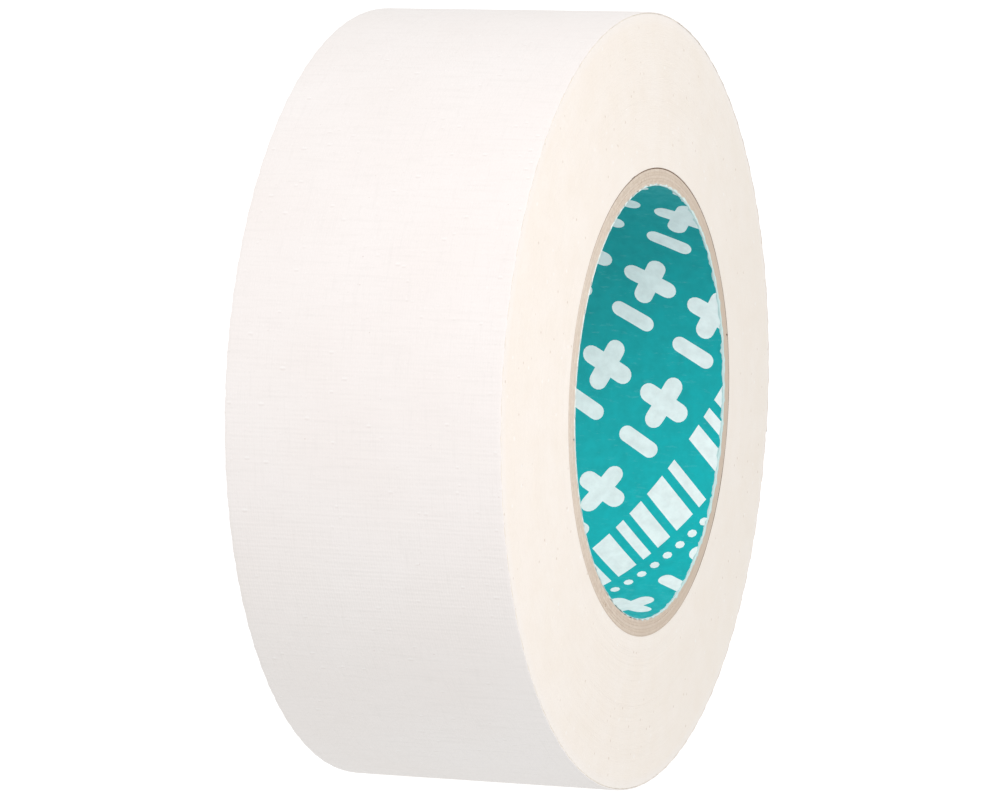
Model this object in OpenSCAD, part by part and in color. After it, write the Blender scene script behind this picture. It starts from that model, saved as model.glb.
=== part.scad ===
// Roll of woven cloth tape wound on a spiral paper core.
// The roll's axis lies along Y, its face with the standing-out core looks along -Y, and it stands on its
// rim towards -Z. The origin is on the axis of the core, halfway across the outermost turn.

/* [Core] */
// Diameter of the hole through the core
core_bore_d = 76.5; // [70:0.1:80]
// Thickness of the printed paper liner
liner_t = 0.2; // [0.1:0.05:0.4]
// Number of chipboard plies
ply_count = 5; // [5:1:5]
// Thickness of one chipboard ply
ply_t = 0.55; // [0.3:0.05:0.7]
// Thickness of the kraft paper wrapped round the plies
wrap_t = 0.2; // [0.1:0.05:0.4]

/* [Tape] */
// Width of the tape, and length of the core
tape_w = 50; // [20:1:60]
// Diameter of the roll, twice its largest radius at the cut end
roll_d = 137.8; // [110:0.2:160]
// Thickness of the woven cloth backing
cloth_t = 0.26; // [0.2:0.02:0.4]
// Thickness of the adhesive under the cloth
adhesive_t = 0.12; // [0.1:0.02:0.2]
// How far the turns step along the axis for each millimetre of winding
telescope = 0.06; // [0:0.01:0.1]

/* [Free end] */
// Angle of the cut end round the roll, from +X towards +Z
cut_angle = -10; // [-20:1:10]
// Number of lengths that the free end bends in
bend_count = 9; // [9:1:9]
// Angle of tape in each length
bend_angle = 9; // [5:1:12]
// Angle of the slit between two lengths
slit_angle = 0.08; // [0.04:0.02:0.2]
// Clearance under the free end
peel_gap = 0.05; // [0.02:0.01:0.08]

/* [Hidden] */
$fn = 180;
// How far a cut runs past what it cuts
overcut = 1;
half_turn = 180;
tape_t = cloth_t + adhesive_t;
bore_r = core_bore_d / 2;
ply_r = bore_r + liner_t;
wrap_r = ply_r + ply_count * ply_t;
core_r = wrap_r + wrap_t;
roll_r = roll_d / 2;
half_w = tape_w / 2;
// Height of a cut that goes right through the roll
through_h = 2 * tape_w;

// The strip is a spiral of two half circles. Each half is a quarter of the tape's thickness off the core's
// axis, so that the radius grows by one thickness in each whole turn.
spiral_offset = tape_t / 4;
last_turn_r = roll_r - 2 * tape_t;
lower_r = last_turn_r + tape_t / 4;
upper_r = last_turn_r + 3 * tape_t / 4;

free_angle = bend_count * bend_angle;

// The core is flush with the innermost turn
core_shift = telescope * (roll_r - core_r);

liner_color = [0.12, 0.62, 0.63];
board_color = [0.80, 0.73, 0.64];
kraft_color = [0.74, 0.64, 0.50];
cloth_color = [0.96, 0.95, 0.93];
wound_color = [0.96, 0.94, 0.90];
adhesive_color = [0.93, 0.90, 0.80];

// Turns the axis of rotation from Z to -Y and leaves X where it is
module on_roll_axis() {
    rotate([90, 0, 0]) children();
}

// A straight tube of the core, from radius r_in to r_out
module core_tube(r_in, r_out) {
    on_roll_axis()
        translate([0, 0, core_shift])
        difference() {
            cylinder(r = r_out, h = tape_w, center = true);
            cylinder(r = r_in, h = tape_w + 2 * overcut, center = true);
        }
}

// Section of the winding between two radii about a centre: the turns step towards +Z as they go in.
// Distances from the roll's axis are taken where the two halves of the spiral meet, so that they match.
module winding_section(center_x, r_in, r_out) {
    shift_in = telescope * (roll_r - r_in + center_x);
    shift_out = telescope * (roll_r - r_out + center_x);
    polygon([
        [r_in, shift_in - half_w],
        [r_out, shift_out - half_w],
        [r_out, shift_out + half_w],
        [r_in, shift_in + half_w]
    ]);
}

// Sweeps a section about the centre of that half of the spiral, from an angle and through a turn
module spiral_arc(center_x, from_angle, turn) {
    translate([center_x, 0, 0])
        rotate([0, 0, from_angle])
        rotate_extrude(angle = turn)
        children();
}

// Sets the spiral so that the cut end is at its angle
module on_spiral() {
    on_roll_axis() rotate([0, 0, cut_angle]) children();
}

// The winding out to a height above the turns below the last one, from an angle round to the cut
module winding(height, from_angle) {
    spiral_arc(-spiral_offset, half_turn, half_turn)
        winding_section(-spiral_offset, core_r - overcut, lower_r + height);
    spiral_arc(spiral_offset, half_turn, from_angle - half_turn)
        winding_section(spiral_offset, core_r - overcut, upper_r + height);
}

// The room inside the winding at that height, right through the roll
module winding_room(height) {
    spiral_arc(-spiral_offset, half_turn, half_turn)
        translate([0, -through_h / 2])
        square([lower_r + height, through_h]);
    spiral_arc(spiral_offset, half_turn, -half_turn)
        translate([0, -through_h / 2])
        square([upper_r + height, through_h]);
}

// One layer of the outermost turn, between two heights above the turns below it
module outer_turn_layer(low, high) {
    on_spiral()
        difference() {
            winding(high, free_angle + slit_angle / 2);
            winding_room(low);
        }
}

// One layer of the free end's length i, counted from the roll towards the cut
module free_end_layer(i, low, high) {
    top = free_angle - (i - 1) * bend_angle - slit_angle / 2;
    bottom = free_angle - i * bend_angle + slit_angle / 2;
    on_spiral()
        spiral_arc(spiral_offset, bottom, top - bottom)
        winding_section(spiral_offset, upper_r + low, upper_r + high);
}

module core_liner() {
    color(liner_color) core_tube(bore_r, ply_r);
}

module core_ply(i) {
    color(board_color) core_tube(ply_r + (i - 1) * ply_t, ply_r + i * ply_t);
}

module core_wrap() {
    color(kraft_color) core_tube(wrap_r, core_r);
}

// Every turn but the last: they are pressed together, so they are one body of tape
module wound_tape() {
    color(wound_color)
        difference() {
            on_spiral() winding(0, 0);
            on_roll_axis() cylinder(r = core_r, h = through_h, center = true);
        }
}

module outer_turn_adhesive() {
    color(adhesive_color) outer_turn_layer(0, adhesive_t);
}

module outer_turn_cloth() {
    color(cloth_color) outer_turn_layer(adhesive_t, tape_t);
}

module tape_end_adhesive(i) {
    color(adhesive_color) free_end_layer(i, peel_gap, adhesive_t);
}

module tape_end_cloth(i) {
    color(cloth_color) free_end_layer(i, adhesive_t, tape_t);
}

core_liner();
for (i = [1:ply_count])
    core_ply(i);
core_wrap();
wound_tape();
outer_turn_adhesive();
outer_turn_cloth();
for (i = [1:bend_count])
    tape_end_adhesive(i);
for (i = [1:bend_count])
    tape_end_cloth(i);
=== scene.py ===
# Roll of woven cloth tape on a printed paper core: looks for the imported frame. Metres, axis along Y, +Z up.
import math
import random

import bmesh
import bpy
import numpy as np
from mathutils import Matrix, Vector
from mathutils.geometry import delaunay_2d_cdt


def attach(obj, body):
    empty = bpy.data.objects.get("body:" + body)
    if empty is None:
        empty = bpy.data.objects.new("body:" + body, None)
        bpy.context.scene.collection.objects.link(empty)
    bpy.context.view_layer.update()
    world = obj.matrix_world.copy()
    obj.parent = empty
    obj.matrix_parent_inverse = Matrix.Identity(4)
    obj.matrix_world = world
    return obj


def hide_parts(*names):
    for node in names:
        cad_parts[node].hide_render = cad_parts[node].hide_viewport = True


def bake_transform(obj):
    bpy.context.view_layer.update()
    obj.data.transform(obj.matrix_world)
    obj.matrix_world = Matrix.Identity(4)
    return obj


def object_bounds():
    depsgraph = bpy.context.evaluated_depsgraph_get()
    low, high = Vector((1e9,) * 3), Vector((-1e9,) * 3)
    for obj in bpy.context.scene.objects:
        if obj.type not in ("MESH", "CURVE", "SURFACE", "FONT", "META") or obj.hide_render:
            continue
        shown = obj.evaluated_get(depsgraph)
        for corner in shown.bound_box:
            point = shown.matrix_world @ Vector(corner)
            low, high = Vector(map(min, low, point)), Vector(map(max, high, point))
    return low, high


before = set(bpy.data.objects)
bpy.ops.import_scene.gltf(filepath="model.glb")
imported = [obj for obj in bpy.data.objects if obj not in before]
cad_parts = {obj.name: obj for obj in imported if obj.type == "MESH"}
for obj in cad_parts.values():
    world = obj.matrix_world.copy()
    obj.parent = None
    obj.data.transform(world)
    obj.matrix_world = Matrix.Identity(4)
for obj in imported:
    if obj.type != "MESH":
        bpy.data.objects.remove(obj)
cad_lo, cad_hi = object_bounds()

MM = 0.001
TAU = 2 * math.pi

# ---------------------------------------------------------------- sizes, as in part.scad
# Millimetres and degrees
HALF_W = 25.0
ROLL_R = 68.9
BORE_R = 38.25
LINER_T = 0.2
PLY_COUNT = 5
PLY_T = 0.55
WRAP_T = 0.2
CORE_R = BORE_R + LINER_T + PLY_COUNT * PLY_T + WRAP_T
TAPE_T = 0.38
GLUE_T = 0.12
PEEL_GAP = 0.05
TELESCOPE = 0.06
CUT_ANGLE = -10
BENDS = 9
BEND_ANGLE = 9.0
FREE_ANGLE = BENDS * BEND_ANGLE

# The strip is a spiral of two half circles, each a quarter of its thickness off the roll's axis
OFFSET = TAPE_T / 4
LAST_TURN_R = ROLL_R - 2 * TAPE_T
LOWER_R = LAST_TURN_R + OFFSET
UPPER_R = LAST_TURN_R + 3 * OFFSET
HALF_TURN = 180
FULL_TURN = 360

# The core is flush with the innermost turn
CORE_SHIFT = TELESCOPE * (ROLL_R - CORE_R)
CORE_NEAR, CORE_FAR = -HALF_W - CORE_SHIFT, HALF_W - CORE_SHIFT

# The weave: a whole number of weft ribs in a bend, so that pieces meet in a valley
RIBS_A_BEND = 14
RIB = BEND_ANGLE / RIBS_A_BEND
RIB_MM = math.radians(RIB) * ROLL_R
RIB_DEPTH = 0.032
WARP_MM = 0.46


# ---------------------------------------------------------------- camera and light
def camera():
    azimuth, elevation = math.radians(-68.46), math.radians(5.91)
    distance, aside, below = 1.004, 0.00201, 0.00061
    back = Vector((
        math.sin(azimuth) * math.cos(elevation),
        -math.cos(azimuth) * math.cos(elevation),
        math.sin(elevation),
    ))
    right = Vector((math.cos(azimuth), math.sin(azimuth), 0))
    up = back.cross(right)
    data = bpy.data.cameras.new("camera")
    data.sensor_width = 36
    data.lens = 202.8
    data.clip_start, data.clip_end = 0.05, 100
    cam = bpy.data.objects.new("camera", data)
    bpy.context.scene.collection.objects.link(cam)
    place = back * distance - right * aside - up * below
    cam.matrix_world = Matrix.Translation(place) @ Matrix((right, up, back)).transposed().to_4x4()
    bpy.context.scene.camera = cam


def area_light(name, direction, distance, size, power, color):
    """A round light at a distance from the origin, facing it."""
    data = bpy.data.lights.new(name, "AREA")
    data.shape = "DISK"
    data.size = size
    data.energy = power
    data.color = color
    lamp = bpy.data.objects.new(name, data)
    bpy.context.scene.collection.objects.link(lamp)
    direction = direction.normalized()
    lamp.location = direction * distance
    lamp.rotation_mode = "QUATERNION"
    lamp.rotation_quaternion = direction.to_track_quat("Z", "Y")
    return lamp


def surroundings():
    """Even pale light from all round, and colours shown as they are."""
    scene = bpy.context.scene
    scene.view_settings.view_transform = "Standard"
    scene.view_settings.look = "None"
    world = bpy.data.worlds.new("studio")
    scene.world = world
    world.use_nodes = True
    background = world.node_tree.nodes["Background"].inputs
    background["Color"].default_value = (0.99, 1.0, 0.99, 1.0)
    background["Strength"].default_value = 0.81


camera()
area_light("key", Vector((-0.58, 0.10, 0.80)), distance=1.6, size=0.5, power=4.3, color=(1.0, 0.92, 1.0))
area_light("face_light", Vector((-0.55, -0.78, 0.30)), distance=0.35, size=0.15, power=0.29,
           color=(1.0, 0.89, 0.87))
area_light("bounce", Vector((-0.70, -0.20, -0.65)), distance=1.2, size=0.8, power=0.80,
           color=(0.92, 0.80, 1.0))
bore_fill = area_light("bore_fill", Vector((-0.55, -0.55, 0.62)), distance=1.0, size=0.45, power=3.1,
                       color=(1.0, 0.98, 0.97))
surroundings()


# ---------------------------------------------------------------- materials
class Look:
    """A Principled material and short ways to wire its nodes."""

    def __init__(self, name):
        self.material = bpy.data.materials.new(name)
        self.material.use_nodes = True
        self.tree = self.material.node_tree
        self.shader = self.tree.nodes["Principled BSDF"]

    def feed(self, socket, value):
        """Links a socket to another node's output, or sets it to a plain value."""
        if isinstance(value, bpy.types.NodeSocket):
            self.tree.links.new(value, socket)
        else:
            socket.default_value = value

    def set(self, **sockets):
        for name, value in sockets.items():
            self.feed(self.shader.inputs[name.replace("_", " ")], value)

    def node(self, kind, inputs=(), **settings):
        made = self.tree.nodes.new(kind)
        for name, value in settings.items():
            setattr(made, name, value)
        for name, value in dict(inputs).items():
            self.feed(made.inputs[name], value)
        return made

    def math(self, operation, a, b=0.0, c=0.0):
        return self.node("ShaderNodeMath", {0: a, 1: b, 2: c}, operation=operation).outputs[0]

    def span(self, value, low, high, to_low=0.0, to_high=1.0):
        inputs = {"Value": value, "From Min": low, "From Max": high, "To Min": to_low, "To Max": to_high}
        return self.node("ShaderNodeMapRange", inputs).outputs["Result"]

    def mix(self, amount, a, b, blend="MIX"):
        inputs = {0: amount, 6: a, 7: b}
        return self.node("ShaderNodeMix", inputs, data_type="RGBA", blend_type=blend).outputs[2]

    def cover(self, color, mask, share, other):
        """Another colour over a share of this one, where the mask is 1."""
        return self.mix(self.math("MULTIPLY", mask, share), color, other)

    def place(self):
        """Object coordinates in millimetres."""
        where = self.node("ShaderNodeTexCoord").outputs["Object"]
        return self.scaled(where, (1 / MM,) * 3)

    def scaled(self, vector, factors):
        inputs = {0: vector, 1: factors}
        return self.node("ShaderNodeVectorMath", inputs, operation="MULTIPLY").outputs[0]

    def moved(self, vector, by):
        return self.node("ShaderNodeVectorMath", {0: vector, 1: by}, operation="ADD").outputs[0]

    def uv(self):
        return self.node("ShaderNodeUVMap", uv_map="strip").outputs[0]

    def parts(self, vector):
        return self.node("ShaderNodeSeparateXYZ", {0: vector}).outputs

    def noise(self, vector, scale, detail=2.0, roughness=0.5):
        inputs = {"Vector": vector, "Scale": scale, "Detail": detail, "Roughness": roughness}
        return self.node("ShaderNodeTexNoise", inputs).outputs["Fac"]

    def specks(self, vector, scale, amount, radius):
        """1 in small specks of a radius in millimetres, in a share of the cells, with scale cells to the
        millimetre."""
        cell = self.node("ShaderNodeTexVoronoi", {"Vector": vector, "Scale": scale})
        pick = self.parts(cell.outputs["Color"])
        chosen = self.math("LESS_THAN", pick[0], amount)
        size = self.span(pick[1], 0.0, 1.0, 0.4 * radius * scale, radius * scale)
        near = self.math("SUBTRACT", 1.0, self.math("DIVIDE", cell.outputs["Distance"], size))
        return self.math("MULTIPLY", self.span(near, 0.0, 0.5), chosen)

    def bump(self, height, distance_mm):
        inputs = {"Height": height, "Distance": distance_mm * MM, "Strength": 1.0}
        return self.node("ShaderNodeBump", inputs).outputs[0]


def rgb(r, g, b):
    return (r, g, b, 1.0)


def woven_cloth(name, tint=1.0):
    """Plain weave: u runs along the strip and v across it, in millimetres. Each weft rib is shape, so the
    nodes only add the warp yarns that cross it, the yarns' fibres, painted shade between them and the
    cotton's flecks."""
    look = Look(name)
    strip = look.uv()
    u, v, _ = look.parts(strip)
    along = look.math("DIVIDE", u, RIB_MM)
    wander = look.noise(look.scaled(strip, (0.05, 0.7, 1.0)), 1.0, detail=3.0)
    across = look.math("ADD", look.math("DIVIDE", v, WARP_MM), look.math("MULTIPLY", wander, 1.2))
    warp_number = look.math("FLOOR", across)
    weft_number = look.math("FLOOR", along)
    weft = look.math("COSINE", look.math("MULTIPLY", look.math("ADD", along, warp_number), math.pi))
    yarn = look.math("ABSOLUTE", look.math("SINE", look.math("MULTIPLY", across, math.pi)))
    over = look.math("MULTIPLY", yarn, look.span(weft, -1.0, 1.0, 0.35, 1.0))
    fibres = look.noise(look.scaled(strip, (9.0, 1.1, 1.0)), 1.0, 4.0, 0.7)
    slubs = look.noise(look.scaled(strip, (1.4, 0.10, 1.0)), 1.0, 3.0, 0.6)
    gaps = look.noise(look.scaled(strip, (0.16, 1.4, 1.0)), 1.0, 2.0, 0.5)
    thin = look.noise(look.scaled(strip, (0.5, 0.12, 1.0)), 1.0, 3.0, 0.6)
    blotch = look.noise(look.place(), 0.035, 3.0, 0.55)

    white = rgb(0.905 * tint, 0.872 * tint, 0.848 * tint)
    warm = rgb(0.890 * tint, 0.848 * tint, 0.818 * tint)
    shade = rgb(0.78 * tint, 0.75 * tint, 0.72 * tint)
    color = look.mix(look.span(blotch, 0.35, 0.7), white, warm)

    # Painted shade between the yarns, more of it where the cloth is thin, in slubs and where warp yarns stand
    # apart
    between = look.span(over, 0.0, 0.55, 1.0, 0.0)
    color = look.cover(color, between, look.span(thin, 0.38, 0.66, 0.02, 0.16), shade)
    color = look.mix(look.span(slubs, 0.50, 0.70, 0.0, 0.20), color, shade)
    color = look.mix(look.span(gaps, 0.55, 0.75, 0.0, 0.18), color, shade)

    # Single crossings that are darker or lighter than the rest
    crossing = look.math("MULTIPLY", look.span(weft, 0.2, 0.9), look.span(yarn, 0.5, 0.9))
    number = look.node("ShaderNodeCombineXYZ", {0: weft_number, 1: warp_number}).outputs[0]
    pick = look.node("ShaderNodeTexWhiteNoise", {"Vector": number}).outputs["Value"]
    color = look.cover(color, crossing, look.span(pick, 0.93, 0.97, 0.0, 0.30), shade)
    color = look.cover(color, crossing, look.span(pick, 0.07, 0.03, 0.0, 0.25), rgb(0.96, 0.95, 0.93))

    # Bits of seed, then lint with a faint painted shadow next to it, then a few dark flecks
    seed = look.specks(strip, 0.38, 0.40, 0.17)
    color = look.cover(color, seed, 0.30, rgb(0.45, 0.33, 0.27))
    painted_shadow_at = look.moved(strip, (0.35, 0.0, 0.0))
    # First the painted shadow next to each bit of lint, then the lint itself
    for where, share, lint in ((painted_shadow_at, 0.12, rgb(0.50, 0.42, 0.38)), (strip, 0.38, rgb(0.97, 0.96, 0.94))):
        bits = look.specks(look.scaled(where, (1.0, 0.42, 1.0)), 0.65, 0.6, 0.29)
        color = look.cover(color, bits, share, lint)
    fleck = look.specks(look.scaled(strip, (1.0, 0.6, 1.0)), 0.12, 0.10, 0.30)
    color = look.cover(color, fleck, 0.7, rgb(0.36, 0.25, 0.19))

    height = look.math("MULTIPLY_ADD", over, 0.20, look.math("MULTIPLY", fibres, 0.5))
    height = look.math("MULTIPLY_ADD", slubs, 0.4, height)
    look.set(Base_Color=color, Roughness=look.span(fibres, 0.3, 0.7, 0.82, 0.96))
    look.set(Normal=look.bump(height, 0.05), Specular_IOR_Level=0.25)
    look.set(Sheen_Weight=0.15, Sheen_Roughness=0.6)
    return look.material


def turn_edges(name):
    """Cut edges of the turns: v counts the turns from the outside, and its last third is the adhesive."""
    look = Look(name)
    _, v, _ = look.parts(look.uv())
    place = look.place()
    within = look.math("FRACT", v)
    turn = look.math("FLOOR", v)
    ring = look.node("ShaderNodeTexNoise", {"W": turn, "Scale": 0.9, "Detail": 1.0}, noise_dimensions="1D")
    fuzz = look.noise(place, 2.2, 4.0, 0.7)
    mottle = look.noise(place, 0.16, 4.0, 0.6)
    cloud = look.noise(place, 0.03, 2.0, 0.5)

    cream = rgb(0.913, 0.852, 0.781)
    pale = rgb(0.933, 0.882, 0.826)
    tan = rgb(0.80, 0.72, 0.62)
    color = look.mix(look.span(mottle, 0.35, 0.68), pale, cream)
    color = look.mix(look.span(cloud, 0.4, 0.65, 0.0, 0.35), color, cream)

    # The outermost turns are lighter, a painted highlight along the rim; glue, some turns and fuzz are tan
    color = look.mix(look.span(v, 0.0, 5.0, 0.55, 0.0), color, rgb(0.93, 0.90, 0.88))
    color = look.mix(look.span(within, 0.66, 0.74, 0.0, 0.06), color, tan)
    color = look.mix(look.span(ring.outputs["Fac"], 0.52, 0.75, 0.0, 0.05), color, tan)
    color = look.mix(look.span(fuzz, 0.56, 0.8, 0.0, 0.25), color, tan)

    dust = look.specks(look.scaled(place, (1.0, 0.1, 0.70)), 0.55, 0.40, 0.31)
    color = look.cover(color, dust, 0.42, rgb(0.50, 0.38, 0.28))
    dirt = look.specks(look.scaled(place, (0.6, 0.1, 1.0)), 0.16, 0.16, 0.40)
    color = look.cover(color, dirt, 0.75, rgb(0.36, 0.27, 0.20))
    lint = look.specks(look.scaled(place, (0.8, 0.1, 0.8)), 0.45, 0.40, 0.36)
    color = look.cover(color, lint, 0.6, rgb(0.97, 0.95, 0.92))

    height = look.math("MULTIPLY_ADD", mottle, 0.8, fuzz)
    look.set(Base_Color=color, Roughness=look.span(fuzz, 0.3, 0.7, 0.8, 0.95))
    look.set(Normal=look.bump(height, 0.07), Specular_IOR_Level=0.25)
    return look.material


def adhesive(name):
    """Tacky layer: pale, with the weave of the turn below printed into it."""
    look = Look(name)
    strip = look.uv()
    u, v, _ = look.parts(strip)
    ribs = look.math("SINE", look.math("MULTIPLY", look.math("DIVIDE", u, RIB_MM), TAU))
    yarns = look.math("SINE", look.math("MULTIPLY", look.math("DIVIDE", v, WARP_MM), TAU))
    patches = look.noise(strip, 0.3, 3.0, 0.6)
    fine = look.noise(strip, 3.0, 3.0, 0.6)
    color = look.mix(look.span(patches, 0.35, 0.7), rgb(0.92, 0.87, 0.77), rgb(0.88, 0.81, 0.69))
    color = look.mix(look.span(fine, 0.5, 0.8, 0.0, 0.3), color, rgb(0.91, 0.86, 0.75))
    height = look.math("MULTIPLY_ADD", ribs, 0.5, look.math("MULTIPLY", yarns, 0.15))
    height = look.math("ADD", height, look.math("MULTIPLY", fine, 0.8))
    look.set(Base_Color=color, Roughness=look.span(patches, 0.3, 0.7, 0.38, 0.6))
    look.set(Normal=look.bump(height, 0.05))
    return look.material


def board(name, light, dark, fibre_and_painted_light, unshaded=None):
    """Grey-brown chipboard or kraft paper, cut across its layers. It is darker towards +X and -Z, as painted
    shade, and lighter towards -X, as painted light; the last colour, if given, is what it turns to towards -X
    and -Z."""
    look = Look(name)
    place = look.place()
    x, _, z = look.parts(place)
    grain = look.noise(place, 1.4, 4.0, 0.65)
    hairs = look.noise(look.scaled(place, (1.0, 4.0, 1.0)), 3.5, 3.0, 0.7)
    tone = look.noise(place, 0.12, 2.0, 0.5)
    color = look.mix(look.span(grain, 0.32, 0.70), dark, light)
    color = look.mix(look.span(hairs, 0.58, 0.8, 0.0, 0.5), color, fibre_and_painted_light)

    # Millimetres towards +X and -Z, made uneven by the tone, for painted shade towards +X and -Z and painted
    # light towards -X
    away = look.math("MULTIPLY_ADD", z, -0.3, look.math("MULTIPLY_ADD", tone, 30.0, x))
    color = look.mix(look.span(away, 0.0, 48.0, 0.0, 0.9), color, dark)
    color = look.mix(look.span(away, -5.0, -28.0, 0.0, 0.30), color, fibre_and_painted_light)
    # The pale colour that the dark colours fade out to towards -X and -Z; for the wrap those dark colours are
    # partly painted shade
    if unshaded:
        side = look.math("MULTIPLY_ADD", tone, 30.0, look.math("MULTIPLY_ADD", z, 0.8, x))
        color = look.mix(look.span(side, 38.0, -8.0), color, unshaded)

    height = look.math("MULTIPLY_ADD", grain, 0.8, look.math("MULTIPLY", hairs, 0.5))
    look.set(Base_Color=color, Roughness=look.span(grain, 0.3, 0.7, 0.86, 0.97))
    look.set(Normal=look.bump(height, 0.09), Specular_IOR_Level=0.2)
    return look.material


def print_paper(name, ink, worn, wear, smooth, rough, uneven=0.0):
    """Printed liner paper: satin, with the paper's formation and small rubbed spots. uneven is how much
    darker its ink is painted towards the top of the bore, as painted shade, and lighter towards the bottom,
    as painted light."""
    look = Look(name)
    place = look.place()
    # Painted shade towards the top of the bore and painted light towards the bottom, by height
    painted_shade_by_height = look.span(look.parts(place)[2], 22.0, -22.0, 1 - uneven, 1 + uneven)
    formation = look.noise(place, 0.45, 3.0, 0.6)
    grain = look.noise(place, 4.0, 3.0, 0.6)
    rubs = look.noise(look.scaled(place, (1.0, 0.25, 1.0)), 1.1, 4.0, 0.75)
    dense = rgb(*(0.84 * part for part in ink[:3]))
    color = look.mix(look.span(formation, 0.35, 0.7, 0.0, 0.8), ink, dense)
    color = look.mix(1.0, color, painted_shade_by_height, "MULTIPLY")
    color = look.mix(look.span(rubs, 0.58, 0.8, 0.0, wear), color, worn)
    height = look.math("MULTIPLY_ADD", grain, 0.35, formation)
    look.set(Base_Color=color, Roughness=look.span(formation, 0.3, 0.7, smooth, rough))
    look.set(Normal=look.bump(height, 0.03), Specular_IOR_Level=0.3)
    return look.material


CLOTH = woven_cloth("woven_cloth")
# A copy 2% darker, as painted shade, for the cloth of the turn under the last one
CLOTH_BELOW_PAINTED_SHADE = woven_cloth("woven_cloth_below", 0.98)
EDGES = turn_edges("turn_edges")
GLUE = adhesive("adhesive")
BOARDS = [
    board("chipboard_1", rgb(0.735, 0.64, 0.54), rgb(0.62, 0.52, 0.425), rgb(0.82, 0.75, 0.66)),
    board("chipboard_2", rgb(0.765, 0.675, 0.575), rgb(0.64, 0.54, 0.45), rgb(0.86, 0.80, 0.72)),
]
# The wrap's dark browns are partly its own kraft colour and partly painted shade of the gap between the core
# and the tape; the pale colour is where that painted shade fades out, towards -X and -Z
KRAFT_WITH_PAINTED_GAP_SHADE = board("kraft_paper", rgb(0.26, 0.17, 0.12), rgb(0.18, 0.12, 0.08), rgb(0.38, 0.28, 0.21),
              unshaded=rgb(0.66, 0.57, 0.48))
TEAL = print_paper("liner_teal", rgb(0.003, 0.405, 0.43), rgb(0.25, 0.60, 0.62), 0.30, 0.45, 0.62, 0.14)
MARKS = print_paper("liner_marks", rgb(0.885, 0.950, 0.950), rgb(0.80, 0.88, 0.88), 0.3, 0.42, 0.6)
TORN = board("torn_paper", rgb(0.76, 0.82, 0.80), rgb(0.50, 0.68, 0.68), rgb(0.92, 0.92, 0.89))


# ---------------------------------------------------------------- mesh helpers
class Skin:
    """Grids of points in millimetres, gathered into one mesh."""

    def __init__(self):
        self.points, self.faces, self.slots, self.uvs = [], [], [], []
        self.count = 0

    def add_points(self, points, uvs):
        first = self.count
        self.points.append(np.asarray(points, float).reshape(-1, 3))
        self.uvs.append(np.asarray(uvs, float).reshape(-1, 2))
        self.count += len(self.points[-1])
        return first

    def add_faces(self, faces, slot):
        faces = np.asarray(faces, int)
        self.faces.append(faces)
        self.slots.append(np.full(len(faces), slot))

    def grid(self, points, uvs, slot=0, closed=False, *, outward):
        """A grid of rows and columns. closed joins the last row to the first, and outward is a direction
        that the face in the middle looks along."""
        rows, columns = points.shape[:2]
        first = self.add_points(points, uvs)
        index = first + np.arange(rows * columns).reshape(rows, columns)
        following = np.roll(index, -1, axis=0) if closed else index[1:]
        index = index if closed else index[:-1]
        quads = np.stack(
            [index[:, :-1], following[:, :-1], following[:, 1:], index[:, 1:]], axis=-1
        ).reshape(-1, 4)
        i, j = rows // 2 - 1, columns // 2 - (columns > 1)
        a, b, c = points[i, j], points[i + 1, j], points[i, j + 1]
        if np.dot(np.cross(b - a, c - a), outward) < 0:
            quads = quads[:, ::-1]
        self.add_faces(quads, slot)

    def build(self, name, materials, merge=1e-6, sharp=35.0):
        """Makes the object. Points closer than merge, in metres, are joined, and edges over sharp, in
        degrees, stay sharp."""
        points = np.concatenate(self.points) * MM
        mesh = bpy.data.meshes.new(name)
        faces = [face for block in self.faces for face in block.tolist()]
        mesh.from_pydata(points.tolist(), [], faces)
        for material in materials:
            mesh.materials.append(material)
        mesh.polygons.foreach_set("material_index", np.concatenate(self.slots).astype(np.int32))
        corners = np.zeros(len(mesh.loops), np.int32)
        mesh.loops.foreach_get("vertex_index", corners)
        layer = mesh.uv_layers.new(name="strip")
        layer.data.foreach_set("uv", np.concatenate(self.uvs)[corners].astype(np.float32).ravel())
        piece = bpy.data.objects.new(name, mesh)
        bpy.context.scene.collection.objects.link(piece)
        work = bmesh.new()
        work.from_mesh(mesh)
        bmesh.ops.remove_doubles(work, verts=work.verts, dist=merge)
        work.to_mesh(mesh)
        work.free()
        mesh.shade_smooth()
        mesh.set_sharp_from_angle(angle=math.radians(sharp))
        return piece


def each_pair(rows, columns):
    """Every pairing of a row's value with a column's value, as a grid of pairs."""
    return np.stack(np.broadcast_arrays(rows, columns), axis=-1)


def radial(point):
    """The direction from the roll's axis to a point."""
    return np.array([point[0], 0, point[2]])


def waves(seed, count, positions, scale):
    """Smooth seeded noise from about -1 to 1: count rows of values at positions, with waves about scale
    long."""
    draw = np.random.default_rng(seed)
    total = np.zeros((count, len(positions)))
    for octave in (1.0, 2.3, 4.1):
        phase = draw.uniform(0, TAU, (count, 1))
        step = draw.uniform(0.7, 1.3, (count, 1)) * octave / scale
        total += np.sin(TAU * positions[None, :] * step + phase) / octave
    return total / 1.6


# ---------------------------------------------------------------- the spiral strip
SPINE = (ROLL_R - TAPE_T) * math.radians(1)  # millimetres of tape in a degree
EDGE_AT = np.array([0.0, 0.12, 0.35])  # extra columns of points at each edge of the strip
EDGE_REACH = 0.9


def to_cut(x, z):
    """Turns a point of the spiral, whose cut end starts at +X, to where the cut end really is."""
    turn = math.radians(CUT_ANGLE)
    return x * math.cos(turn) - z * math.sin(turn), x * math.sin(turn) + z * math.cos(turn)


def telescoped(radius, center):
    """How far the winding is shifted along the axis, at a radius about the centre of a half of the spiral."""
    return TELESCOPE * (ROLL_R - radius + center)


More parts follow.
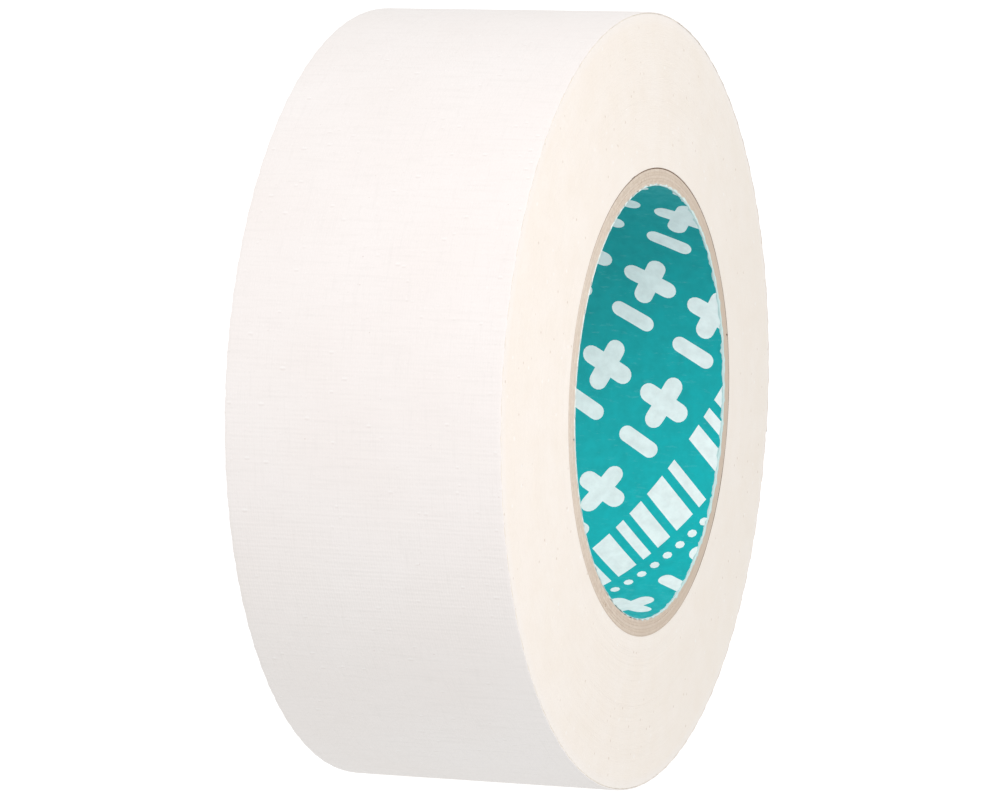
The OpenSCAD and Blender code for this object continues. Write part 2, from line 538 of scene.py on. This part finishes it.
def on_strip(angle, height, y):
    """Points of the outer turns, at spiral angles in degrees and heights above the turns below the last one.
    y runs from -HALF_W on the near side to HALF_W on the far side."""
    angle, height = np.broadcast_arrays(np.asarray(angle, float), np.asarray(height, float))
    lower = angle > HALF_TURN
    center = np.where(lower, -OFFSET, OFFSET)
    radius = np.where(lower, LOWER_R, UPPER_R) + height
    a = np.radians(angle)
    x, z = to_cut(center + radius * np.cos(a), radius * np.sin(a))
    return np.stack(np.broadcast_arrays(x, y - telescoped(radius, center), z), axis=-1)


def rib_heights(angles, ys, seed):
    """Height of the weft ribs, from 0 in a valley to about 1 on a crest, with thick and thin yarns."""
    phase = angles / RIB
    number = np.floor(phase + 1e-6).astype(int)
    yarns = 600
    draw = np.random.default_rng(seed)
    thickness = draw.uniform(0.62, 1.0, yarns)
    uneven = waves(seed + 1, yarns, ys, 23.0)
    slub_at = draw.uniform(-HALF_W, HALF_W, yarns)
    slub_long = draw.uniform(1.5, 5.0, yarns)
    slub_high = np.where(draw.uniform(0, 1, yarns) < 0.22, draw.uniform(0.2, 0.55, yarns), 0.0)
    slub = slub_high[:, None] * np.exp(-(((ys[None, :] - slub_at[:, None]) / slub_long[:, None]) ** 2))
    each = thickness[:, None] * (1 + 0.22 * uneven) + slub
    crest = 0.5 - 0.5 * np.cos(TAU * phase)
    return crest[:, None] * each[number % yarns]


def across_strip(count):
    """Positions across the strip, closer together at its edges."""
    inner = np.linspace(-HALF_W + EDGE_REACH, HALF_W - EDGE_REACH, count)
    return np.concatenate([EDGE_AT - HALF_W, inner, HALF_W - EDGE_AT[::-1]])


def ragged_edges(angles, ys, seed, ragged):
    """Positions across the strip at each angle, with its two edges wandering by about ragged."""
    near, far = waves(seed + 9, 2, angles * SPINE, 6.0) * ragged
    squeeze = np.where(ys[None, :] < 0, near[:, None], -far[:, None])
    outer = np.clip((np.abs(ys) - (HALF_W - 1.0)), 0, 1)[None, :]
    return ys[None, :] + squeeze * outer


def frayed_end(angles, columns, step, seed, fray):
    """Angles of each column of points, where the last end's yarns stand out by up to fray degrees."""
    draw = np.random.default_rng(seed + 3)
    reach = draw.uniform(0, fray, columns) * (draw.uniform(0, 1, columns) < 0.7)
    near_end = np.clip(1 - (angles - angles[-1]) / (2 * step), 0, 1)[:, None]
    return angles[:, None] - near_end * reach[None, :]


def strip_piece(name, materials, start, stop, low, high, columns, step=RIB / 4, ribs=0.0, seed=5, ragged=0.07,
                fray=0.0):
    """A closed strip from one spiral angle to another, between two heights. ribs is how deep the weave of its
    upper side is, ragged how far its edges wander, and fray how far its yarns stand out of the last end."""
    angles = np.linspace(start, stop, int(round((start - stop) / step)) + 1)
    rows = len(angles)
    ys = across_strip(columns)
    y = ragged_edges(angles, ys, seed, ragged)
    at = frayed_end(angles, len(ys), step, seed, fray)
    rounding = np.clip((np.abs(ys) - (HALF_W - 0.35)) / 0.35, 0, 1) ** 2
    top = high - 0.05 * rounding[None, :] * np.ones((rows, 1))
    if ribs:
        top = top - ribs + ribs * rib_heights(angles, ys, seed)
    upper = on_strip(at, top, y)

    # The underside has fewer points, and the same two edges
    under_count = 9
    under_y = np.tile(np.linspace(-HALF_W, HALF_W, under_count), (rows, 1))
    under_y[:, 0], under_y[:, -1] = y[:, 0], y[:, -1]
    inner_at = np.tile(angles[:, None], (1, under_count - 2))
    lower = on_strip(np.concatenate([at[:, :1], inner_at, at[:, -1:]], axis=1), low, under_y)

    # One closed ring of points at each angle: the upper side from near to far, then the underside back
    ring = np.concatenate([upper, lower[:, ::-1], upper[:, :1]], axis=1)
    around = ring.shape[1]
    u = -angles[:, None] * SPINE * np.ones((1, around))
    v = np.concatenate([y, under_y[:, ::-1], y[:, :1]], axis=1)
    skin = Skin()
    direction = radial(upper[rows // 2 - 1, 0])
    middle_is_upper = around // 2 - 1 < len(ys) - 1
    skin.grid(ring, np.stack([u, v], axis=-1), outward=direction if middle_is_upper else -direction)
    for row, before, after in ((0, 1, 0), (rows - 1, rows - 2, rows - 1)):
        cap = row * around + np.arange(around - 1)
        a, b = ring[row, 1] - ring[row, 0], ring[row, len(ys) + 1] - ring[row, 0]
        outwards = ring[after, 0] - ring[before, 0]
        if np.dot(np.cross(a, b), outwards) > 0:
            cap = cap[::-1]
        skin.add_faces([cap], 0)
    return skin.build(name, materials)


# ---------------------------------------------------------------- wound tape
TURNS = 71
STEPS_A_TURN = 160
INNER_END = 112.5  # angle past the last whole turn at which the strip runs out against the core
GROOVE = 0.018
# Across each turn's edge: share of its thickness, how deep it lies, and v
TURN_PROFILE = ((0.0, GROOVE, 0.02), (0.16, 0.0, 0.16), (0.80, 0.004, 0.80))
INNER_V = 0.98


def turn_faces(skin):
    """The winding's two faces: the strip's edges, wound from the outside in, with a groove between turns."""
    step = FULL_TURN / STEPS_A_TURN
    last = TURNS * STEPS_A_TURN + int(INNER_END / step)
    inner = last - STEPS_A_TURN
    index = np.arange(last + 1)
    angle = (index % STEPS_A_TURN) * step
    layer = index // STEPS_A_TURN
    center = np.where(angle > HALF_TURN, -OFFSET, OFFSET)
    top = np.where(angle > HALF_TURN, LOWER_R, UPPER_R) - layer * TAPE_T
    a = np.radians(angle)
    core = -center * np.cos(a) + np.sqrt(CORE_R ** 2 - (center * np.sin(a)) ** 2)
    thick = np.minimum(TAPE_T, top - core)

    # Slow drift all along the strip, and now and then a turn that stands out or lies deeper
    draw = np.random.default_rng(11)
    knot_steps, knot_turns = 40, 80
    knots = draw.normal(0, 1, last // knot_steps + 3)
    drift = 0.012 * np.interp(index / knot_steps, np.arange(len(knots)), knots)
    odd = draw.uniform(-1, 1, knot_turns)
    proud = np.where(np.abs(odd) > 0.9, np.sign(odd) * 0.009, 0.0)
    proud = np.interp(index / STEPS_A_TURN, np.arange(knot_turns), proud)
    spine = index * step * SPINE * 0.8

    def spiral_row(radius, relief, sign):
        x, z = to_cut(center + radius * np.cos(a), radius * np.sin(a))
        return np.stack([x, sign * HALF_W - telescoped(radius, center) + sign * relief, z], axis=-1)

    def strip_of_quads(p, q, at):
        """Quads between two rows of points, given by the index of each row's first point."""
        return np.stack([p + at, p + at + 1, q + at + 1, q + at], axis=-1)

    for sign in (-1, 1):
        rows = [
            spiral_row(top - share * thick, (drift + proud) * (share > 0) - sink, sign)
            for share, sink, _ in TURN_PROFILE
        ]
        uvs = [np.stack([spine, layer + v], axis=-1) for _, _, v in TURN_PROFILE]
        first = skin.add_points(np.concatenate(rows), np.concatenate(uvs))
        groove, outer_row, inner_row = (first + k * len(index) for k in range(len(TURN_PROFILE)))
        core_row = spiral_row(core, -GROOVE, sign)[inner + 1:]
        core_first = skin.add_points(core_row, np.stack([spine, layer + INNER_V], axis=-1)[inner + 1:])
        quads = np.concatenate([
            strip_of_quads(groove, outer_row, index[:-1]),
            strip_of_quads(outer_row, inner_row, index[:-1]),
            strip_of_quads(inner_row, groove + STEPS_A_TURN, np.arange(inner)),
            strip_of_quads(inner_row, core_first - inner - 1, np.arange(inner + 1, last)),
        ])
        corner = np.concatenate(skin.points)[quads[0]]
        if np.cross(corner[1] - corner[0], corner[3] - corner[0])[1] * sign < 0:
            quads = quads[:, ::-1]
        skin.add_faces(quads, 0)


def turn_cloth(skin, start, stop, step, ys, depth=0.0):
    """The cloth of the turn under the last one, between two spiral angles. depth is how deep its weave is."""
    angles = np.linspace(start, stop, int(round((start - stop) / step)) + 1)
    height = np.zeros((len(angles), len(ys)))
    if depth:
        height = height - depth + depth * np.minimum(rib_heights(angles, ys, 31), 1.0)
        height[:, [0, -1]] = -0.03
    points = on_strip(angles[:, None], height, ys[None, :])
    uvs = each_pair(-angles[:, None] * SPINE, ys[None, :])
    skin.grid(points, uvs, 1, outward=radial(points[len(angles) // 2 - 1, 0]))


def wound_tape():
    """All turns but the last. Their cloth is woven where it shows once the free end is lifted."""
    skin = Skin()
    turn_faces(skin)
    shown_to = 90.0
    turn_cloth(skin, shown_to, 0.0, RIB / 4, across_strip(34), 0.05)
    turn_cloth(skin, FULL_TURN, shown_to, FULL_TURN / STEPS_A_TURN, np.array([-HALF_W, 0.0, HALF_W]))

    # The bore of the winding, against the core
    angles = np.radians(np.arange(0, FULL_TURN, 3.0))[:, None]
    ys = np.array([[CORE_NEAR, CORE_FAR]])
    bore = np.stack(np.broadcast_arrays(CORE_R * np.cos(angles), ys, CORE_R * np.sin(angles)), axis=-1)
    middle = bore[len(angles) // 2 - 1, 0]
    skin.grid(bore, each_pair(angles * CORE_R, ys), closed=True, outward=-radial(middle))
    return skin.build("wound_turns", [EDGES, CLOTH_BELOW_PAINTED_SHADE], merge=1e-8, sharp=80)


# ---------------------------------------------------------------- core
def core_ring(name, material, r_in, r_out, butt, seed):
    """One ply of the core, with broken corners, uneven cut ends and the gap where its strip butts."""
    chamfer, dish, gap_depth = 0.05, -0.02, 0.2
    plain = np.arange(0, FULL_TURN, 2.0)
    notch = butt + np.array([-0.34, -0.26, -0.18, 0.0, 0.18, 0.26, 0.34])

    def from_butt(angles):
        return np.abs((angles - butt + HALF_TURN) % FULL_TURN - HALF_TURN)

    angles = np.unique(np.concatenate([plain[from_butt(plain) > 0.8], notch % FULL_TURN]))
    gap = np.clip((0.3 - from_butt(angles)) / 0.1, 0, 1)
    gap = gap * gap * (3 - 2 * gap)
    draw = np.random.default_rng(seed)
    rad = np.radians(angles)
    ends = []
    for _ in range(2):
        uneven = sum(
            draw.uniform(0.2, 1) * np.sin(rad * k + draw.uniform(0, TAU)) / math.sqrt(k)
            for k in (1, 3, 7, 16, 41)
        )
        ends.append(0.022 * uneven + draw.uniform(-0.015, 0.015, len(angles)))
    middle = (r_in + r_out) / 2
    half_profile = [
        (r_in, chamfer), (r_in + chamfer, 0.0), (middle, dish), (r_out - chamfer, 0.0), (r_out, chamfer)
    ]
    columns = []
    for far, profile in ((False, half_profile), (True, half_profile[::-1]), (False, half_profile[:1])):
        for radius, inset in profile:
            depth = inset + gap * gap_depth
            y = CORE_FAR + ends[1] - depth if far else CORE_NEAR + ends[0] + depth
            columns.append(np.stack([radius * np.cos(rad), y, radius * np.sin(rad)], axis=-1))
    points = np.stack(columns, axis=1)
    uvs = each_pair(rad[:, None] * middle, points[:, :, 1])
    skin = Skin()
    halfway = points[len(angles) // 2 - 1, len(columns) // 2 - 1]
    skin.grid(points, uvs, closed=True, outward=radial(halfway))
    return skin.build(name, [material], sharp=30)


# ---------------------------------------------------------------- the liner's print
CIRCLE = TAU * BORE_R
HALF_CIRCLE = CIRCLE / 2
LEAN = math.radians(30.8)  # the liner's strip is wound at this angle to the circumference
STRIP_W = CIRCLE * math.sin(LEAN)
SEAM = -78.0
PITCH_ALONG, PHASE_ALONG = 19.65, 4.15
MARK_ROWS = (-70.1, -57.1, -44.1, -15.2, -2.2, 10.8, 23.8, 36.8)
BAND_ROW, BAND_H, BAND_LEAN = -28.2, 10.2, 2.6
DOT_ROW, DOT_R, DOT_PITCH = -36.2, 0.9, 3.2
DOTS_IN_GROUP, DOT_PLACES = 9, 11
PLUS_SPAN, PLUS_W = 10.4, 3.5
PILL_L, PILL_W, PILL_AT = 8.6, 3.0, -8.6
BARS = ((0.0, 3.2), (4.9, 2.0), (8.6, 4.4), (14.7, 2.0), (18.4, 3.2), (23.3, 4.4), (29.4, 2.0))
BAR_PERIOD = 36.0
# How often each print repeats, either way, to cover the whole strip
MARK_REPEATS, BAND_REPEATS, DOT_REPEATS = 16, 9, 90


def to_strip(u, y):
    """Along and across the liner's own strip, from the unrolled bore."""
    p = u * math.sin(LEAN) + y * math.cos(LEAN)
    s = u * math.cos(LEAN) - y * math.sin(LEAN)
    turns = np.floor((p - SEAM) / STRIP_W)
    return s - turns * CIRCLE * math.cos(LEAN), p - turns * STRIP_W


def from_strip(s, p):
    """Back from the strip to the unrolled bore."""
    return s * math.cos(LEAN) + p * math.sin(LEAN), -s * math.sin(LEAN) + p * math.cos(LEAN)


def arc(cx, cy, radius, start, stop, count):
    """Points along an arc, in count steps between two angles in degrees."""
    return [
        (cx + radius * math.cos(math.radians(start + (stop - start) * i / count)),
         cy + radius * math.sin(math.radians(start + (stop - start) * i / count)))
        for i in range(count + 1)
    ]


def plus_outline():
    """A plus sign with round ends."""
    reach, half = PLUS_SPAN / 2 - PLUS_W / 2, PLUS_W / 2
    points = []
    for quarter in range(4):
        turn = quarter * 90
        for x, y in arc(reach, 0, half, -90, 90, 8) + [(half, half)]:
            c, s = math.cos(math.radians(turn)), math.sin(math.radians(turn))
            points.append((x * c - y * s, x * s + y * c))
    return points


def pill_outline():
    """A short bar with round ends, which lies across the strip."""
    reach, half = PILL_L / 2 - PILL_W / 2, PILL_W / 2
    return arc(0, reach, half, 0, 180, 10) + arc(0, -reach, half, 180, 360, 10)


def print_outlines():
    """Outlines of the printed marks, on the strip."""
    outlines = []
    for row in MARK_ROWS:
        for k in range(-MARK_REPEATS, MARK_REPEATS):
            s = PHASE_ALONG + k * PITCH_ALONG
            outlines.append([(s + x, row + y) for x, y in plus_outline()])
            outlines.append([(s + PILL_AT + x, row + y) for x, y in pill_outline()])
    low, high = BAND_ROW - BAND_H / 2, BAND_ROW + BAND_H / 2
    half = BAND_LEAN / 2
    for k in range(-BAND_REPEATS, BAND_REPEATS):
        for at, width in BARS:
            s = k * BAR_PERIOD + at
            outlines.append([
                (s - half, low), (s + width - half, low), (s + width + half, high), (s + half, high)
            ])
    for k in range(-DOT_REPEATS, DOT_REPEATS):
        if k % DOT_PLACES < DOTS_IN_GROUP:
            outlines.append(arc(k * DOT_PITCH, DOT_ROW, DOT_R, 0, 315, 7))
    return outlines


def in_pill(s, p, length, width):
    """Inside a pill that lies across the strip."""
    return np.hypot(s, np.maximum(np.abs(p) - (length - width) / 2, 0)) < width / 2


def in_plus(s, p):
    return in_pill(s, p, PLUS_SPAN, PLUS_W) | in_pill(p, s, PLUS_SPAN, PLUS_W)


def printed(u, y):
    """True where the liner is printed with a mark."""
    s, p = to_strip(u, y)
    marks = np.zeros(s.shape, bool)
    plus = (s - PHASE_ALONG + PITCH_ALONG / 2) % PITCH_ALONG - PITCH_ALONG / 2
    pill = (s - PHASE_ALONG - PILL_AT + PITCH_ALONG / 2) % PITCH_ALONG - PITCH_ALONG / 2
    for row in MARK_ROWS:
        marks |= in_plus(plus, p - row) | in_pill(pill, p - row, PILL_L, PILL_W)
    t = (p - BAND_ROW) / BAND_H
    along = (s - BAND_LEAN * t) % BAR_PERIOD
    for at, width in BARS:
        marks |= (np.abs(t) < 0.5) & (along > at) & (along < at + width)
    number = np.round(s / DOT_PITCH)
    dots = np.hypot(s - number * DOT_PITCH, p - DOT_ROW) < DOT_R
    return marks | (dots & (number % DOT_PLACES < DOTS_IN_GROUP))


# ---------------------------------------------------------------- the liner's paper
SEAM_GAP = 0.14
SEAM_REACH = 260
LONGEST_EDGE = 1.8
# Points between the shapes: how far apart they are, how uneven, and how clear of the shapes they stay
FILL_SPACING, FILL_JITTER, FILL_CLEAR = 1.9, 0.25, 0.7
# Places round the unrolled bore where the torn edges are set
TEAR_PLACES = 400
TEAR_AT = np.linspace(-HALF_CIRCLE, HALF_CIRCLE, TEAR_PLACES)
SLOT_INK, SLOT_MARK, SLOT_TORN = 0, 1, 2


def tear(seed, scale, low, high):
    """How far paper is torn, from low to high, at each of the places round the bore."""
    slow = waves(seed, 1, np.arange(TEAR_PLACES) / TEAR_PLACES, scale)[0]
    quick = np.random.default_rng(seed + 50).uniform(-1, 1, TEAR_PLACES)
    share = np.clip(slow * 0.8 + quick * 0.45, -1, 1) * 0.5 + 0.5
    share[-1] = share[0]
    return low + (high - low) * share ** 1.6


def torn_end(edge, inwards, seed):
    """Where the paper stops at one end of the core, and where its torn white edge ends."""
    stop = edge + inwards * tear(seed, 0.021, 0.0, 0.22)
    return stop, stop + inwards * tear(seed + 5, 0.013, 0.03, 0.42)


def from_seam(u, y):
    """Distance from the nearest seam of the liner's strip."""
    p = to_strip(u, y)[1] - SEAM
    return np.minimum(p, STRIP_W - p)


class Plan:
    """Points and edges on the unrolled bore."""

    def __init__(self):
        self.points, self.edges = [], []

    def line(self, chain, closed=False):
        """Adds a chain of points, with more where they are far apart, so that every edge follows the bore."""
        chain = list(chain)
        chain += chain[:1] if closed else []
        first = len(self.points)
        for a, b in zip(chain, chain[1:]):
            parts = max(1, math.ceil(math.dist(a, b) / LONGEST_EDGE))
            for i in range(parts):
                self.points.append((a[0] + (b[0] - a[0]) * i / parts, a[1] + (b[1] - a[1]) * i / parts))
        if not closed:
            self.points.append(chain[-1])
        self.edges.extend((i, i + 1) for i in range(first, len(self.points) - 1))
        if closed:
            self.edges.append((len(self.points) - 1, first))

    def fill(self):
        """Adds points between the lines, so that every triangle follows the bore."""
        draw = random.Random(7)
        margin = 2
        known = np.array([
            (u, y) for u, y in self.points
            if abs(u) < HALF_CIRCLE + margin and CORE_NEAR - margin < y < CORE_FAR + margin
        ])
        rows = int((CORE_FAR - CORE_NEAR) / FILL_SPACING)
        for i in range(1, rows):
            y = CORE_NEAR + (CORE_FAR - CORE_NEAR) * i / rows
            for j in range(int(CIRCLE / FILL_SPACING) + 1):
                jitter = draw.uniform(-FILL_JITTER, FILL_JITTER)
                u = -HALF_CIRCLE + FILL_SPACING * (j + 0.5 * (i % 2)) + jitter
                clear = np.min(np.hypot(known[:, 0] - u, known[:, 1] - y)) > FILL_CLEAR
                if abs(u) < HALF_CIRCLE - 0.3 and clear:
                    self.points.append((u, y))


def reaches(values, low, high):
    """Whether a shape with these values reaches in between low and high."""
    return max(values) >= low and min(values) <= high


def liner_plan(ends):
    """The unrolled liner: its torn ends, its seam and its printed shapes."""
    plan = Plan()
    for stop, white in ends:
        plan.line(zip(TEAR_AT, stop))
        plan.line(zip(TEAR_AT, white))
    for turn in (-1, 0, 1):
        for side in (-SEAM_GAP, SEAM_GAP):
            p = SEAM + side + turn * STRIP_W
            plan.line([from_strip(-SEAM_REACH, p), from_strip(SEAM_REACH, p)])
    for u in (-HALF_CIRCLE, HALF_CIRCLE):
        plan.line([(u, CORE_NEAR - 1), (u, CORE_FAR + 1)])
    for outline in print_outlines():
        for turn in (-1, 0, 1):
            shape = [from_strip(s, p) for s, p in outline]
            shape = [(u + turn * CIRCLE, y) for u, y in shape]
            us, ys = zip(*shape)
            if reaches(us, -HALF_CIRCLE, HALF_CIRCLE) and reaches(ys, CORE_NEAR, CORE_FAR):
                plan.line(shape, closed=True)
    plan.fill()
    return plan


def smeared_end(skin, stop, edge, outwards, seed, widest):
    """Torn fibres smeared over an end of the core, the most towards +X."""
    a = TEAR_AT / BORE_R
    smear = 0.08 + widest * np.cos(a / 2) ** 2 * np.clip(np.cos(a) + 0.2, 0, 1) ** 0.8
    smear = smear * (0.45 + tear(seed, 0.017, 0.0, 0.9)) + tear(seed + 3, 0.004, -0.08, 0.32)
    smear = np.maximum(smear, 0.0)
    smear[-1] = smear[0]
    none = np.zeros(TEAR_PLACES)
    profile = (
        (none - 0.02, stop),
        (none + 0.05, edge + outwards * 0.07),
        (0.7 * smear, edge + outwards * 0.09),
        (smear, edge + outwards * 0.05),
        (smear + 0.03, edge - outwards * 0.08),
    )
    grid, uvs = [], []
    for beyond, y in profile:
        radius = BORE_R + beyond
        grid.append(np.stack([radius * np.cos(a), y + none, radius * np.sin(a)], axis=-1))
        uvs.append(np.stack([TEAR_AT, radius], axis=-1))
    outward = np.array([0, outwards, 0])
    skin.grid(np.stack(grid, axis=1), np.stack(uvs, axis=1), SLOT_TORN, outward=outward)


def liner():
    """The liner's printed side as flat shapes wrapped round the bore, with torn white edges at both ends and
    the seam where the turns of its strip meet."""
    ends = torn_end(CORE_NEAR, 1, 21), torn_end(CORE_FAR, -1, 22)
    plan = liner_plan(ends)
    made = delaunay_2d_cdt([Vector(p) for p in plan.points], plan.edges, [], 0, 1e-5)
    flat = np.array([tuple(v) for v in made[0]])
    faces = np.array(made[2])

    # What each triangle is, from its middle
    u, y = flat[faces].mean(axis=1).T
    (near_stop, near_white), (far_stop, far_white) = (
        [np.interp(u, TEAR_AT, line) for line in end] for end in ends
    )
    keep = (np.abs(u) < HALF_CIRCLE) & (y > near_stop) & (y < far_stop)
    torn = (y < near_white) | (y > far_white) | (from_seam(u, y) < SEAM_GAP)
    slot = np.where(torn, SLOT_TORN, np.where(printed(u, y), SLOT_MARK, SLOT_INK))[keep]
    used, faces = np.unique(faces[keep], return_inverse=True)
    flat, faces = flat[used], faces.reshape(-1, 3)

    # The paper lifts a little at its ends and dips at its seam
    u, y = flat.T
    lift = np.exp(-(np.minimum(y - CORE_NEAR, CORE_FAR - y).clip(0) / 0.5))
    curl = 0.05 * (waves(77, 1, u, 9.0)[0] * 0.5 + 0.5) * lift
    radius = BORE_R - curl + 0.08 * np.exp(-((from_seam(u, y) / 0.12) ** 2))
    angle = u / BORE_R
    inside = np.stack([radius * np.cos(angle), y, radius * np.sin(angle)], axis=-1)
    a, b, c = inside[faces[0]]
    if np.dot(np.cross(b - a, c - a), radial(a)) > 0:
        faces = faces[:, ::-1]
    skin = Skin()
    skin.add_points(inside, flat)
    for kind in (SLOT_INK, SLOT_MARK, SLOT_TORN):
        skin.add_faces(faces[slot == kind], kind)
    smeared_end(skin, ends[0][0], CORE_NEAR, -1, 31, 0.62)
    smeared_end(skin, ends[1][0], CORE_FAR, 1, 32, 0.3)
    return skin.build("liner_paper", [TEAL, MARKS, TORN], merge=2e-6, sharp=60)


# ---------------------------------------------------------------- build every piece
def settle(piece, body, slot, *nodes):
    """Puts a piece on a body in place of CAD nodes; slot is not used."""
    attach(piece, body)
    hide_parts(*nodes)
    return piece


def light_alone(lamp, piece):
    """Makes a lamp light one piece and nothing else."""
    lit = bpy.data.collections.new(f"lit_by_{lamp.name}")
    lit.objects.link(piece)
    lamp.light_linking.receiver_collection = lit


def core():
    """The liner, the plies, whose joints are spread round the core, and the wrap."""
    light_alone(bore_fill, settle(liner(), "roll", "printed_paper", "core_liner"))
    for i in range(1, PLY_COUNT + 1):
        r_in = BORE_R + LINER_T + (i - 1) * PLY_T
        butt = (47 + 137 * i) % FULL_TURN
        ring = core_ring(f"ply_{i}", BOARDS[i % 2], r_in, r_in + PLY_T, butt, seed=40 + i)
        settle(ring, "roll", "chipboard", f"core_ply_{i}")
    wrap = core_ring("kraft_wrap", KRAFT_WITH_PAINTED_GAP_SHADE, CORE_R - WRAP_T, CORE_R, butt=200, seed=60)
    settle(wrap, "roll", "kraft_paper", "core_wrap")


def glue_strip(name, start, stop, low, columns, step):
    """The adhesive of a length of tape."""
    return strip_piece(name, [GLUE], start, stop, low, GLUE_T, columns, step, ragged=0.04, seed=70)


def cloth_strip(name, start, stop, fray=0.0):
    """The woven cloth of a length of tape."""
    return strip_piece(name, [CLOTH], start, stop, GLUE_T, TAPE_T, columns=32, ribs=RIB_DEPTH, fray=fray)


def free_end():
    """The free end, in lengths that each run from the middle of one bend to the middle of the next."""
    for k in range(1, BENDS + 1):
        hinge = FREE_ANGLE - (k - 1) * BEND_ANGLE
        top = hinge + BEND_ANGLE / 2
        end = 0.0 if k == BENDS else top - BEND_ANGLE
        # Points where each length would bend, the first one later so that it isn't pressed into the turns
        # below; nothing uses them
        late = hinge + BEND_ANGLE / 4 if k == 1 else top
        bend_from, bend_to = (
            Vector(radial(on_strip(angle, TAPE_T, 0.0))) * MM for angle in (late, top - BEND_ANGLE)
        )
        glue = glue_strip(f"free_end_adhesive_{k}", top, end, PEEL_GAP, columns=8, step=RIB)
        cloth = cloth_strip(f"free_end_cloth_{k}", top, end, fray=0.35 if k == BENDS else 0.0)
        for piece, slot, layer in ((glue, "adhesive", "adhesive"), (cloth, "woven_cloth", "cloth")):
            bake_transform(piece)
            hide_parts(f"tape_end_{layer}_{k}")


def tape():
    """The wound turns, the last turn's two layers and the free end."""
    turns = settle(wound_tape(), "roll", "wound_tape", "wound_tape")
    free_top = FREE_ANGLE + BEND_ANGLE / 2
    glue = glue_strip("last_turn_adhesive", FULL_TURN, free_top, low=0.0, columns=4, step=1.5)
    settle(glue, "roll", "adhesive", "outer_turn_adhesive")
    cloth = cloth_strip("last_turn_cloth", FULL_TURN, free_top)
    settle(cloth, "roll", "woven_cloth", "outer_turn_cloth")
    free_end()


def floor():
    """Plain pale floor under the roll, which neither lights nor shades it."""
    bpy.ops.mesh.primitive_circle_add(vertices=96, radius=30, fill_type="NGON", location=(0, 0, cad_lo.z))
    plane = bpy.context.object
    plane.name = "floor"
    look = Look("floor")
    look.set(Base_Color=rgb(0.92, 0.92, 0.92), Roughness=0.9, Specular_IOR_Level=0.1)
    look.set(Emission_Color=rgb(1, 1, 1), Emission_Strength=0.45)
    plane.data.materials.append(look.material)
    plane.visible_diffuse = False
    plane.visible_shadow = False


core()
tape()
floor()
